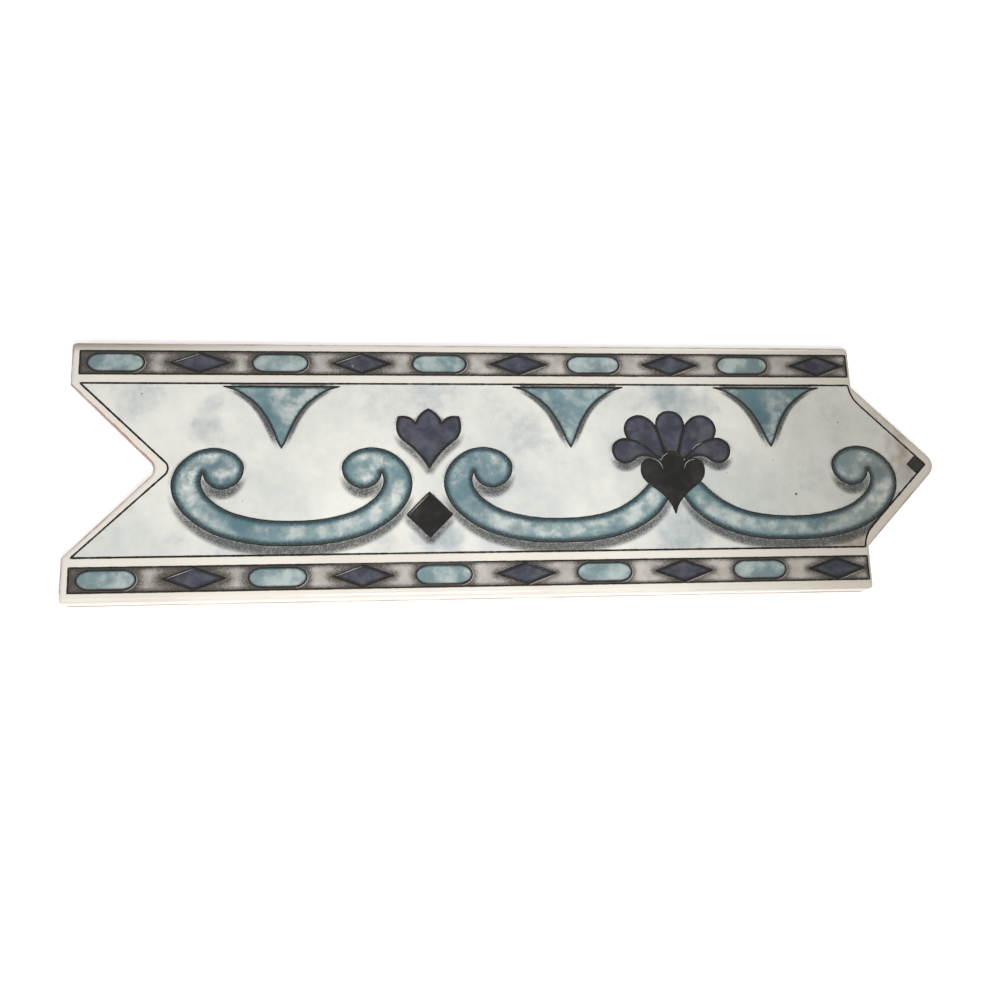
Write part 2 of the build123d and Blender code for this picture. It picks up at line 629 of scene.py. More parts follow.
def soft_step(low, high, value):
    """0 below low, 1 above high, and a smooth climb between."""
    t = min(1.0, max(0.0, (value - low) / (high - low)))
    return t * t * (3 - 2 * t)


def blotches(places, x, y):
    """How deep a point lies in the soft round blotches, from 0 to 1."""
    wobble = Vector((0.0, 0.0, 0.0))
    for frequency, level, size in BLOTCH_WOBBLES:
        wobble += noise.noise_vector(Vector((x * frequency, y * frequency, level))) * size
    clear = 1.0
    for place_x, place_y, reach, strength in places:
        away = math.hypot(x + wobble.x - place_x, y + wobble.y - place_y)
        clear *= 1 - strength * (1 - soft_step(0.1 * reach, 1.55 * reach, away))
    return 1 - clear


def finish_piece(piece, material):
    """Give a piece its one material, and tie it to the tile."""
    piece.data.materials.clear()
    piece.data.materials.append(material)
    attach(piece, BODY)


def painted(name, outlines, level, spacing, material, **values):
    """A film in one material, with the values that the material reads, each worked out from x and y."""
    piece = film(name, outlines, level, spacing)
    for value_name, value_at in values.items():
        paint_value(piece, value_name, value_at)
    finish_piece(piece, material)


# Node trees


# Kind of a group's socket, by its default value
SOCKET_KINDS = {float: "NodeSocketFloat", int: "NodeSocketInt", tuple: "NodeSocketColor"}
WHITE = (1.0, 1.0, 1.0, 1.0)


def wire(tree, source, target):
    """Join an output to an input, or set the input when the source is a plain value."""
    if isinstance(source, bpy.types.NodeSocket):
        tree.links.new(source, target)
    else:
        target.default_value = source


def add_node(tree, kind, inputs=None, **settings):
    """A new node with some of its settings, and its inputs joined to other nodes or set to values."""
    item = tree.nodes.new(kind)
    for name, value in settings.items():
        setattr(item, name, value)
    for name, source in (inputs or {}).items():
        wire(tree, source, item.inputs[name])
    return item


def add_sockets(tree, direction, sockets):
    """Named sockets of a node group, each given by its default value or by a kind that has none."""
    for name, value in sockets.items():
        kind = value if isinstance(value, str) else SOCKET_KINDS[type(value)]
        socket = tree.interface.new_socket(name=name, in_out=direction, socket_type=kind)
        if value != kind:
            socket.default_value = value


def node_group(name):
    """The node group of that name, built the first time that it is asked for."""
    if name in bpy.data.node_groups:
        return bpy.data.node_groups[name]
    kind, inputs, outputs, fill = NODE_GROUPS[name]
    tree = bpy.data.node_groups.new(name, kind)
    add_sockets(tree, "INPUT", inputs)
    add_sockets(tree, "OUTPUT", outputs)
    fill(tree, add_node(tree, "NodeGroupInput").outputs, add_node(tree, "NodeGroupOutput").inputs)
    return tree


def arithmetic(tree, operation, *values):
    """Output of one Math node."""
    return add_node(tree, "ShaderNodeMath", dict(enumerate(values)), operation=operation).outputs[0]


# Geometry Nodes


def end_in_mesh(tree, geometry, material, target):
    """Pass a tree's geometry to its output as plain mesh in one material."""
    realize = add_node(tree, "GeometryNodeRealizeInstances", {"Geometry": geometry})
    inputs = {"Geometry": realize.outputs["Geometry"], "Material": material}
    wire(tree, add_node(tree, "GeometryNodeSetMaterial", inputs).outputs["Geometry"], target)


def fill_strokes(tree, given, result):
    """Lines to flat strokes of ink whose width wavers as a printed line's does."""
    curve = add_node(tree, "GeometryNodeMeshToCurve", {"Mesh": given["Lines"]}).outputs["Curve"]
    level = add_node(tree, "GeometryNodeSetCurveNormal", {"Curve": curve}, mode="Z_UP").outputs["Curve"]
    weight = add_node(tree, "GeometryNodeInputNamedAttribute", {"Name": "weight"}, data_type="FLOAT")
    noise_inputs = {"Scale": given["Waver Scale"], "W": given["Seed"], "Detail": 3.0}
    rough = add_node(tree, "ShaderNodeTexNoise", noise_inputs, noise_dimensions="4D").outputs[0]
    swing = arithmetic(tree, "SUBTRACT", rough, 0.5)
    waver = arithmetic(tree, "MULTIPLY_ADD", swing, given["Waver"], 1.0)
    radius = arithmetic(tree, "MULTIPLY", waver, weight.outputs["Attribute"])
    circle_inputs = {"Resolution": STROKE_SIDES, "Radius": given["Half Width"]}
    circle = add_node(tree, "GeometryNodeCurvePrimitiveCircle", circle_inputs).outputs["Curve"]
    squash = add_node(tree, "ShaderNodeCombineXYZ", {"X": 1.0, "Y": given["Flatness"], "Z": 1.0})
    flat_inputs = {"Geometry": circle, "Scale": squash.outputs["Vector"]}
    profile = add_node(tree, "GeometryNodeTransform", flat_inputs).outputs["Geometry"]
    sweep_inputs = {"Curve": level, "Profile Curve": profile, "Scale": radius, "Fill Caps": True}
    sweep = add_node(tree, "GeometryNodeCurveToMesh", sweep_inputs).outputs["Mesh"]
    end_in_mesh(tree, sweep, given["Ink"], result["Strokes"])


def fill_rows(tree, given, result):
    """Copies of one bead at an even pitch, in two rows either side of the tile's middle line."""
    step = add_node(tree, "ShaderNodeCombineXYZ", {"X": given["Pitch"]}).outputs["Vector"]
    join = add_node(tree, "GeometryNodeJoinGeometry")
    for row_y in (given["Row Y"], arithmetic(tree, "MULTIPLY", given["Row Y"], -1.0)):
        start = add_node(tree, "ShaderNodeCombineXYZ", {"X": given["First X"], "Y": row_y})
        inputs = {"Count": given["Count"], "Start Location": start.outputs["Vector"], "Offset": step}
        line = add_node(tree, "GeometryNodeMeshLine", inputs, mode="OFFSET")
        wire(tree, line.outputs["Mesh"], join.inputs["Geometry"])
    inputs = {"Points": join.outputs["Geometry"], "Instance": given["Bead"]}
    beads = add_node(tree, "GeometryNodeInstanceOnPoints", inputs).outputs["Instances"]
    end_in_mesh(tree, beads, given["Glaze"], result["Rows"])


def grown(piece, tree, values):
    """Run a Geometry Nodes tree on a piece, and keep its result as the piece's own plain mesh."""
    modifier = piece.modifiers.new(tree.name, "NODES")
    modifier.node_group = tree
    keys = {item.name: item.identifier for item in tree.interface.items_tree if item.in_out == "INPUT"}
    for name, value in values.items():
        modifier[keys[name]] = value
    depsgraph = bpy.context.evaluated_depsgraph_get()
    result = bpy.data.meshes.new_from_object(piece.evaluated_get(depsgraph))
    result.name = piece.name
    piece.modifiers.remove(modifier)
    piece.data = result


def bead_rows(name, outline, first_x, material):
    """Two rows of one kind of bead."""
    bands = bpy.context.scene.tile_bands
    piece = film(name, [outline], MOTIF_LEVEL, BEAD_SPACING)
    paint_value(piece, "rim", rim_of([outline]))
    values = {
        "Count": bands.count,
        "Pitch": bands.pitch,
        "First X": first_x * MM,
        "Row Y": BAND_MIDDLE * MM,
        "Glaze": material,
    }
    grown(piece, node_group("Bead rows"), values)
    finish_piece(piece, material)


def lines_along(runs, level, width, closed=True, tapered=False):
    """Lines for strokes(), one along each run of points."""
    shared = {"level": level, "width": LINE_WIDTHS[width], "closed": closed, "tapered": tapered}
    return [{"points": run, **shared} for run in runs]


def strokes(name, lines, ink):
    """A piece of ink strokes along lines."""
    face = bpy.context.scene.tile_face
    points = []
    edges = []
    weights = []
    for line in lines:
        start = len(points)
        height = FACE + line["level"] * face.film_step
        points += [(x * MM, y * MM, height) for x, y in line["points"]]
        end = len(points) - 1
        edges += [(i, i + 1) for i in range(start, end)]
        if line["closed"]:
            edges.append((end, start))
        weights += stroke_weights(line)
    piece = new_piece(name, points, edges, [])
    store_values(piece, "weight", weights)
    half_width = face.ink_width / 2
    flatness = STROKE_HEIGHT * face.film_step / half_width
    values = {"Half Width": half_width, "Flatness": flatness, "Waver": STROKE_WAVER, "Ink": ink}
    grown(piece, node_group("Ink strokes"), values)
    finish_piece(piece, ink)


def stroke_weights(line):
    """Width of a line at each of its points, in shares of the ink's usual width."""
    width = line["width"]
    count = len(line["points"])
    if not line["tapered"]:
        return [width] * count
    swell = [math.sin(math.pi * i / (count - 1)) for i in range(count)]
    return [width * (TAPER + (1 - TAPER) * share) for share in swell]


# Shader nodes


def climb(tree, value, low, high, start=0.0, end=1.0):
    """Output of a smooth Map Range node, from start at low to end at high."""
    inputs = {"Value": value, "From Min": low, "From Max": high, "To Min": start, "To Max": end}
    return add_node(tree, "ShaderNodeMapRange", inputs, interpolation_type="SMOOTHSTEP").outputs["Result"]


def blend_value(tree, share, first, second):
    """Output of one Mix node for plain values."""
    return add_node(tree, "ShaderNodeMix", {0: share, 2: first, 3: second}, data_type="FLOAT").outputs[0]


def blend_colour(tree, share, first, second, blend_type="MIX"):
    """Output of one Mix node for colours."""
    item = add_node(tree, "ShaderNodeMix", {0: share}, data_type="RGBA", blend_type=blend_type)
    for source, target in zip((first, second), (s for s in item.inputs if s.type == "RGBA")):
        wire(tree, source, target)
    return next(socket for socket in item.outputs if socket.type == "RGBA")


def object_point(tree):
    """Object coordinates, in metres."""
    return add_node(tree, "ShaderNodeTexCoord").outputs["Object"]


def object_axis(tree, axis):
    """One of the Object coordinates, in metres."""
    return add_node(tree, "ShaderNodeSeparateXYZ", {0: object_point(tree)}).outputs[axis]


def noise_value(tree, scale, detail, roughness, distortion=0.0, point=None):
    """Output of one Noise Texture, on Object coordinates unless it is given another point."""
    inputs = {
        "Vector": point or object_point(tree),
        "Scale": scale,
        "Detail": detail,
        "Roughness": roughness,
        "Distortion": distortion,
    }
    return add_node(tree, "ShaderNodeTexNoise", inputs).outputs[0]


def stored(tree, name):
    """A value stored on the mesh's points."""
    return add_node(tree, "ShaderNodeAttribute", attribute_name=name).outputs["Fac"]


def placed(tree, name, **values):
    """Outputs of one copy of a node group in a material, with its own values."""
    inputs = {socket.replace("_", " "): value for socket, value in values.items()}
    return add_node(tree, "ShaderNodeGroup", inputs, node_tree=node_group(name)).outputs


def wash(tree, scale, cover, softness, seed):
    """Outputs of one copy of the watercolour wash."""
    return placed(tree, "Watercolour wash", Scale=scale, Cover=cover, Softness=softness, Seed=seed)


def airbrushed(tree, tone, colour, amount, softness, strength):
    """A tone with another colour stippled over it."""
    dots = placed(tree, "Airbrush stipple", Amount=amount, Grain_Scale=2800.0, Softness=softness)["Mask"]
    return blend_colour(tree, arithmetic(tree, "MULTIPLY", dots, strength), tone, hue(colour))


def hue(name):
    """One of the colour settings as the linear colour with alpha that a node takes."""
    screen = getattr(bpy.context.scene.tile_colours, name)
    channels = [c / 12.92 if c <= 0.04045 else ((c + 0.055) / 1.055) ** 2.4 for c in screen]
    return (*channels, 1.0)


# Shader node groups


def fill_stipple(tree, given, result):
    """Grainy dots of airbrushed colour, thicker where the amount is greater."""
    threshold = climb(tree, noise_value(tree, given["Grain Scale"], 2.0, 0.7), 0.25, 0.75)
    soft = given["Softness"]
    # Stretched so that no dots are left at an amount of 0, and no gaps at 1
    stretch = arithmetic(tree, "MULTIPLY_ADD", soft, 2.0, 1.0)
    amount = arithmetic(tree, "MULTIPLY", given["Amount"], stretch)
    lead = arithmetic(tree, "SUBTRACT", amount, arithmetic(tree, "ADD", threshold, soft))
    wire(tree, climb(tree, lead, arithmetic(tree, "MULTIPLY", soft, -1.0), soft), result["Mask"])


def fill_wash(tree, given, result):
    """Watery clouds of a hand-laid glaze colour, and a finer noise of the same seed."""
    shift_inputs = {0: object_point(tree), 1: given["Seed"]}
    point = add_node(tree, "ShaderNodeVectorMath", shift_inputs, operation="ADD").outputs[0]
    clouds = noise_value(tree, given["Scale"], 6.0, 0.6, 0.2, point)
    low = arithmetic(tree, "SUBTRACT", given["Cover"], given["Softness"])
    high = arithmetic(tree, "ADD", given["Cover"], given["Softness"])
    wire(tree, climb(tree, clouds, low, high), result["Mask"])
    fine_scale = arithmetic(tree, "MULTIPLY", given["Scale"], 6.0)
    wire(tree, noise_value(tree, fine_scale, 3.0, 0.6, point=point), result["Fine"])


def fill_glaze(tree, given, result):
    """The fired glaze: a faintly wavy surface, with small changes of gloss."""
    waves = noise_value(tree, 170.0, 2.0, 0.5)
    pits = noise_value(tree, 1500.0, 2.0, 0.6)
    wire(tree, arithmetic(tree, "MULTIPLY_ADD", pits, 0.08, waves), result["Height"])
    smears = climb(tree, noise_value(tree, 60.0, 3.0, 0.6), 0.4, 0.75, 0.0, 0.06)
    wire(tree, arithmetic(tree, "ADD", given["Roughness"], smears), result["Roughness"])


def fill_yellowing_and_shade(tree, given, result):
    """A colour dulled towards the tile's point: partly the glaze yellowed there, and partly painted shade
    where the light falls off towards it.
    """
    share = climb(tree, object_axis(tree, "X"), given["Start"], given["Full"])
    dulled = blend_colour(tree, share, given["Colour"], given["Tint"], "MULTIPLY")
    wire(tree, dulled, result["Colour"])


# Kind, inputs, outputs and contents of each node group
NODE_GROUPS = {
    "Ink strokes": (
        "GeometryNodeTree",
        {
            "Lines": "NodeSocketGeometry",
            "Half Width": 0.0002,
            "Flatness": 0.05,
            "Waver": 0.35,
            "Waver Scale": 900.0,
            "Seed": 4.0,
            "Ink": "NodeSocketMaterial",
        },
        {"Strokes": "NodeSocketGeometry"},
        fill_strokes,
    ),
    "Bead rows": (
        "GeometryNodeTree",
        {
            "Bead": "NodeSocketGeometry",
            "Count": 5,
            "Pitch": 0.04,
            "First X": 0.0,
            "Row Y": 0.027,
            "Glaze": "NodeSocketMaterial",
        },
        {"Rows": "NodeSocketGeometry"},
        fill_rows,
    ),
    "Airbrush stipple": (
        "ShaderNodeTree",
        {"Amount": 0.5, "Grain Scale": 3000.0, "Softness": 0.3},
        {"Mask": "NodeSocketFloat"},
        fill_stipple,
    ),
    "Watercolour wash": (
        "ShaderNodeTree",
        {"Scale": 150.0, "Cover": 0.5, "Softness": 0.15, "Seed": 0.0},
        {"Mask": "NodeSocketFloat", "Fine": "NodeSocketFloat"},
        fill_wash,
    ),
    "Fired glaze": (
        "ShaderNodeTree",
        {"Roughness": 0.14},
        {"Roughness": "NodeSocketFloat", "Height": "NodeSocketFloat"},
        fill_glaze,
    ),
    "Yellowing": (
        "ShaderNodeTree",
        {"Colour": WHITE, "Tint": WHITE, "Start": 0.02, "Full": 0.1},
        {"Colour": "NodeSocketColor"},
        fill_yellowing_and_shade,
    ),
}


# Materials


def empty_material(name):
    """A new material and its empty node tree."""
    material = bpy.data.materials.new(name)
    material.use_nodes = True
    material.node_tree.nodes.clear()
    return material, material.node_tree


def fire(tree, colour, roughness, height, bump_strength, bump_distance):
    """End a material's tree in the surface of a fired coat, yellowed and darkened with painted shade
    towards the tile's point.
    """
    bump_inputs = {"Height": height, "Strength": bump_strength, "Distance": bump_distance}
    inputs = {
        "Base Color": placed(tree, "Yellowing", Colour=colour, Tint=hue("aged_and_shaded"))["Colour"],
        "Roughness": roughness,
        "IOR": 1.5,
        "Normal": add_node(tree, "ShaderNodeBump", bump_inputs).outputs["Normal"],
    }
    shader = add_node(tree, "ShaderNodeBsdfPrincipled", inputs)
    add_node(tree, "ShaderNodeOutputMaterial", {"Surface": shader.outputs["BSDF"]})


def fired_glaze(tree):
    """Outputs of the glaze group, at the gloss of the settings."""
    return placed(tree, "Fired glaze", Roughness=bpy.context.scene.tile_colours.gloss_roughness)


def glazed_material(name, colour_of):
    """A glossy glaze whose colour is the socket that colour_of(tree) gives."""
    material, tree = empty_material(name)
    glaze = fired_glaze(tree)
    fire(tree, colour_of(tree), glaze["Roughness"], glaze["Height"], 0.25, 0.00006)
    return material


def body_material():
    """White glaze over a red clay body: the glaze thins at the edge and stops part-way down the side."""
    material, tree = empty_material("Glaze over red clay")
    ragged = noise_value(tree, 140.0, 4.0, 0.6)
    drip = arithmetic(tree, "MULTIPLY_ADD", ragged, 0.0034, object_axis(tree, "Z"))
    glazed = climb(tree, drip, FACE - 0.0026, FACE - 0.002)
    grain = noise_value(tree, 900.0, 5.0, 0.7)
    coat = thinned_glaze(tree, margin_colour(tree), ragged, drip)
    surface = blend_colour(tree, glazed, clay_colour(tree, grain), coat)
    glaze = fired_glaze(tree)
    roughness = blend_value(tree, glazed, 0.85, glaze["Roughness"])
    height = blend_value(tree, glazed, arithmetic(tree, "MULTIPLY", grain, 2.5), glaze["Height"])
    fire(tree, surface, roughness, height, 0.3, 0.0001)
    return material


def clay_colour(tree, grain):
    """Red clay with dusty patches and dark grit."""
    patches = climb(tree, noise_value(tree, 55.0, 3.0, 0.6), 0.35, 0.65)
    clay = blend_colour(tree, patches, hue("clay"), hue("clay_pale"))
    grit = climb(tree, grain, 0.56, 0.7, 0.0, 0.35)
    return blend_colour(tree, grit, clay, hue("clay_dark"))


def margin_colour(tree):
    """White of the margins, with a brown stain at the tip and painted shade along the far edge near the
    notch.
    """
    clouds = wash(tree, scale=28.0, cover=0.5, softness=0.2, seed=7.0)["Mask"]
    white = blend_colour(tree, clouds, hue("white"), hue("white_warm"))
    away_inputs = {0: object_point(tree), 1: MARGIN_STAIN_PLACE}
    away = add_node(tree, "ShaderNodeVectorMath", away_inputs, operation="DISTANCE").outputs["Value"]
    spread = climb(tree, away, MARGIN_STAIN_REACH, 0.0, 0.0, 0.8)
    patches = wash(tree, scale=160.0, cover=0.5, softness=0.2, seed=13.0)["Mask"]
    white = blend_colour(tree, arithmetic(tree, "MULTIPLY", spread, patches), white, hue("stain"))
    # Painted shade: the white is darkened along the far edge, more so towards the notch
    along = climb(tree, object_axis(tree, "X"), *FAR_EDGE_SHADE_ALONG)
    far = climb(tree, object_axis(tree, "Y"), *FAR_EDGE_SHADE_ACROSS)
    far_edge_shade = arithmetic(tree, "MULTIPLY", arithmetic(tree, "MULTIPLY", along, far), 0.6)
    return blend_colour(tree, far_edge_shade, white, hue("far_edge_shade"))


def thinned_glaze(tree, white, ragged, drip):
    """The white glaze, with the clay showing through it along the rolled edge and at its lip."""
    raised = arithmetic(tree, "MULTIPLY_ADD", ragged, 0.0009, -0.00045)
    height = arithmetic(tree, "ADD", object_axis(tree, "Z"), raised)
    above = climb(tree, height, FACE - 0.00045, FACE - 0.0002)
    below = climb(tree, height, FACE - 0.0009, FACE - 0.0012)
    near_side = climb(tree, object_axis(tree, "Y"), *NEAR_SIDE, 0.92, 0.2)
    thick = arithmetic(tree, "MAXIMUM", above, arithmetic(tree, "MULTIPLY", below, 0.85))
    thick = arithmetic(tree, "MAXIMUM", thick, near_side)
    coat = blend_colour(tree, thick, hue("thin_glaze"), white)
    lip = climb(tree, drip, FACE - 0.0015, FACE - 0.0021, 0.0, 0.7)
    return blend_colour(tree, lip, coat, hue("thin_glaze"))


def field_colour(tree):
    """Off-white ground with blue-grey clouds, brown stains, and the stippled shadows of the motifs."""
    fine = noise_value(tree, 420.0, 5.0, 0.7)
    tone = blend_colour(tree, field_clouds(tree, fine), hue("field"), hue("cloud"))
    patches = wash(tree, scale=120.0, cover=0.47, softness=0.2, seed=11.0)["Mask"]
    stain_depth = arithmetic(tree, "MULTIPLY_ADD", patches, 0.5, 0.5)
    stain = arithmetic(tree, "MULTIPLY", stored(tree, "stain"), stain_depth)
    tone = blend_colour(tree, stain, tone, hue("stain"))
    depth = stored(tree, "shadow")
    dots = placed(tree, "Airbrush stipple", Amount=depth, Grain_Scale=2900.0, Softness=0.45)["Mask"]
    dense = climb(tree, depth, 0.02, 0.42, 0.0, 0.58)
    tone = blend_colour(tree, arithmetic(tree, "MULTIPLY_ADD", dots, 0.36, dense), tone, hue("shadow"))
    weave = arithmetic(tree, "MULTIPLY_ADD", fine, 0.16, 0.92)
    return blend_colour(tree, 1.0, tone, weave, "MULTIPLY")


def field_clouds(tree, fine):
    """How strong the field's clouds are: the stored ones, with frayed edges, over a faint wispy wash."""
    place = stored(tree, "cloud")
    fray = arithmetic(tree, "MULTIPLY_ADD", fine, 1.2, -0.6)
    frayed = arithmetic(tree, "MULTIPLY_ADD", fray, climb(tree, place, 0.0, 0.3), place)
    wisps = wash(tree, scale=110.0, cover=0.5, softness=0.2, seed=3.0)["Mask"]
    wispy = arithmetic(tree, "MULTIPLY_ADD", wisps, 0.26, 0.27)
    wide = wash(tree, scale=34.0, cover=0.5, softness=0.17, seed=2.0)["Mask"]
    return arithmetic(tree, "MAXIMUM", frayed, arithmetic(tree, "MULTIPLY", wide, wispy))


def band_colour(tree):
    """Grey-brown ground, dark round the beads and the edges and pale between them."""
    mottles = wash(tree, scale=260.0, cover=0.5, softness=0.25, seed=5.0)["Mask"]
    tone = blend_colour(tree, mottles, hue("band_pale"), hue("band_mid"))
    return airbrushed(tree, tone, "band_dark", stored(tree, "dark"), softness=1.4, strength=0.96)


def teal_colour(tree, dark_rim, pale_from, mottle_cover, paleness, seed):
    """Blue-green wash with pale mottles inside, airbrushed dark towards its outline."""
    patches = wash(tree, scale=90.0, cover=0.5, softness=0.2, seed=seed + 3.0)["Mask"]
    base = blend_colour(tree, patches, hue("teal"), hue("teal_soft"))
    worn = climb(tree, object_axis(tree, "X"), 0.07, 0.1, 0.0, 0.4)
    base = blend_colour(tree, worn, base, hue("band_mid"))
    mottles = wash(tree, scale=260.0, cover=mottle_cover, softness=0.13, seed=seed)
    rim = stored(tree, "rim")
    uneven = arithmetic(tree, "MULTIPLY_ADD", mottles["Fine"], 1.6, -0.8)
    inner = climb(tree, arithmetic(tree, "ADD", rim, uneven), dark_rim, pale_from)
    lift = climb(tree, object_axis(tree, "Y"), -0.014, -0.004, 0.5, 0.85)
    light = arithmetic(tree, "MULTIPLY_ADD", mottles["Mask"], lift, 0.22)
    places = wash(tree, scale=75.0, cover=0.48, softness=0.12, seed=seed + 6.0)["Mask"]
    light = arithmetic(tree, "MULTIPLY", places, light)
    light = arithmetic(tree, "MULTIPLY", light, arithmetic(tree, "MULTIPLY", inner, paleness))
    tone = blend_colour(tree, light, base, hue("teal_pale"))
    edge = climb(tree, rim, pale_from, 0.0, 0.0, 0.82)
    return airbrushed(tree, tone, "teal_dark", edge, softness=0.9, strength=0.88)


def scroll_colour(tree):
    """The scrolls' wash: pale along the middle of the stem, dark at both edges."""
    return teal_colour(tree, dark_rim=0.7, pale_from=2.1, mottle_cover=0.5, paleness=1.0, seed=1.0)


def pendant_colour(tree):
    """The pendants' wash, with only a thin dark edge."""
    return teal_colour(tree, dark_rim=0.2, pale_from=0.9, mottle_cover=0.52, paleness=0.6, seed=9.0)


def edged_wash(tree, mottles, base, pale, dark, edge_width, strength):
    """A wash of two tones, airbrushed dark over the given millimetres from its outline."""
    tone = blend_colour(tree, mottles["Mask"], hue(base), hue(pale))
    edge = climb(tree, stored(tree, "rim"), edge_width, 0.0)
    return airbrushed(tree, tone, dark, edge, softness=1.3, strength=strength)


def oval_colour(tree):
    """The pale wash of the oval beads."""
    mottles = wash(tree, scale=150.0, cover=0.52, softness=0.13, seed=4.0)
    return edged_wash(tree, mottles, "oval", "oval_pale", "teal_dark", edge_width=0.8, strength=0.75)


def indigo_colour(tree):
    """Deep blue-violet, a little worn to grey in the middle and nearly black at the outline."""
    mottles = wash(tree, scale=260.0, cover=0.53, softness=0.16, seed=6.0)
    return edged_wash(tree, mottles, "indigo", "indigo_pale", "ink", edge_width=1.2, strength=0.85)


def black_colour(tree):
    """Black with a faint grey wear."""
    patches = wash(tree, scale=190.0, cover=0.56, softness=0.2, seed=8.0)["Mask"]
    share = arithmetic(tree, "MULTIPLY_ADD", patches, 0.5, stored(tree, "wear"))
    return blend_colour(tree, share, hue("black"), hue("black_worn"))


def ink_colour(tree):
    """Brown-black ink of uneven density."""
    share = climb(tree, noise_value(tree, 2400.0, 2.0, 0.6), 0.45, 0.75, 0.0, 0.45)
    return blend_colour(tree, share, hue("ink"), hue("band_dark"))


def light_colour(tree):
    """Pale scratched-out lines."""
    share = climb(tree, noise_value(tree, 1800.0, 2.0, 0.6), 0.4, 0.7, 0.0, 0.7)
    return blend_colour(tree, share, hue("light_line"), hue("band_mid"))


def speck_colour(tree):
    """Dark iron specks."""
    return blend_colour(tree, noise_value(tree, 3000.0, 2.0, 0.6), hue("speck"), hue("band_mid"))


# Settings


def length(name, description, default):
    """A size setting, in metres."""
    return FloatProperty(name=name, description=description, default=default, unit="LENGTH")


def amount(name, description, default):
    """A setting without a unit that is never negative."""
    return FloatProperty(name=name, description=description, default=default, min=0.0)


def paint(name, description, red, green, blue):
    """A colour setting, given as it looks on the screen, in 255ths."""
    return FloatVectorProperty(
        name=name,
        description=description,
        subtype="COLOR_GAMMA",
        size=3,
        min=0.0,
        max=1.0,
        default=(red / 255, green / 255, blue / 255),
    )


class TileFaceSettings(bpy.types.PropertyGroup):
    """Sizes of the painted films."""

    film_step: length("Film step", "Height of one painted film over the next", 0.000012)
    ink_width: length("Ink width", "Usual width of an ink line", 0.00042)
    shadow_drop: length("Shadow drop", "How far a motif's shadow lies below it", 0.0021)
    shadow_blur: length("Shadow blur", "Width of a shadow's soft edge", 0.0017)


class TileBandSettings(bpy.types.PropertyGroup):
    """Spacing of the beads on the two bands."""

    pitch: length("Pitch", "Distance between like beads", 0.03985)
    count: IntProperty(name="Count", description="Beads of each kind on a band", default=5, min=1)


class TileColourSettings(bpy.types.PropertyGroup):
    """Colours of the glazes, the clay and the ink."""

    white: paint("White glaze", "Glaze of the margins", 232, 227, 217)
    white_warm: paint("Warm white", "Warmer patches of the margins", 223, 216, 205)
    thin_glaze: paint("Thin glaze", "Glaze over the edge, with the clay showing", 158, 100, 83)
    clay: paint("Clay", "Fired red clay", 198, 176, 159)
    clay_pale: paint("Pale clay", "Dusty patches of the clay", 224, 209, 195)
    clay_dark: paint("Grit", "Dark grit in the clay", 150, 108, 90)
    field: paint("Field", "Ground of the field", 232, 230, 222)
    cloud: paint("Cloud", "Blue-grey clouds of the field", 158, 171, 175)
    # Tint that dulls every glaze towards the point: partly real yellowing, partly painted shade
    aged_and_shaded: paint("Yellowing", "Tint of the glaze near the point", 218, 216, 211)
    # Painted shade: a dark colour laid into the glaze along the far edge near the notch
    far_edge_shade: paint("Far edge shade", "Darkened glaze along the far edge, near the notch", 112, 101, 90)
    stain: paint("Stain", "Brown stains near the point", 142, 120, 96)
    shadow: paint("Shadow", "Stippled shadows of the motifs", 70, 73, 74)
    teal: paint("Teal", "Wash of the scrolls", 84, 114, 122)
    teal_soft: paint("Soft teal", "Lighter patches of the wash", 111, 139, 145)
    teal_pale: paint("Pale teal", "Mottles of the wash", 220, 223, 217)
    teal_dark: paint("Dark teal", "Airbrushed edges of the scrolls", 44, 50, 51)
    oval: paint("Oval", "Wash of the oval beads", 118, 138, 141)
    oval_pale: paint("Pale oval", "Mottles of the oval beads", 178, 190, 188)
    indigo: paint("Indigo", "Petals, bud and lozenges", 62, 65, 75)
    indigo_pale: paint("Pale indigo", "Worn patches of the petals", 89, 91, 100)
    black: paint("Black", "Heart and diamonds", 36, 35, 33)
    black_worn: paint("Worn black", "Worn patches of the heart", 74, 73, 70)
    ink: paint("Ink", "Outlines", 40, 36, 33)
    light_line: paint("Light line", "Thin pale lines beside the outlines", 176, 170, 162)
    band_pale: paint("Pale band", "Band between two beads", 196, 191, 184)
    band_mid: paint("Middle band", "Mottles of the band", 164, 159, 152)
    band_dark: paint("Dark band", "Band round the beads", 66, 62, 57)
    speck: paint("Speck", "Specks in the glaze", 70, 66, 64)
    gloss_roughness: FloatProperty(
        name="Gloss roughness", description="Roughness of the glaze", default=0.13, min=0.0, max=1.0
    )


class TileStageSettings(bpy.types.PropertyGroup):
    """Camera and lights."""

    camera_place: FloatVectorProperty(
        name="Camera place",
        description="Where the camera is",
        subtype="TRANSLATION",
        default=(-0.036195, -0.06854, 0.2676),
    )
    camera_turn: FloatVectorProperty(
        name="Camera turn",
        description="Rotation vector that takes the tile's frame to the camera's",
        subtype="EULER",
        default=(-0.22639, 0.11391, 0.02201),
    )
    lens: FloatProperty(name="Lens", description="Focal length in mm for a 36 mm film", default=38.91)
    key_power: amount("Key power", "Power of the near lamp", 0.62)
    fill_power: amount("Fill power", "Power of the far lamp", 1.6)
    edge_power: amount("Edge power", "Power of the lamp behind", 0.9)
    sky: amount("Sky", "Brightness all round", 0.24)


# Operators


class TILE_OT_body(bpy.types.Operator):
    """Glaze the fired body of the tile"""

    bl_idname = "tile.body"
    bl_label = "Glaze the body"

    def execute(self, context):
        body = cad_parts[NODE]
        material = body_material()
        if not body.material_slots:
            raise RuntimeError("the body has no material slot")
        for slot in body.material_slots:
            slot.material = material
        return {"FINISHED"}


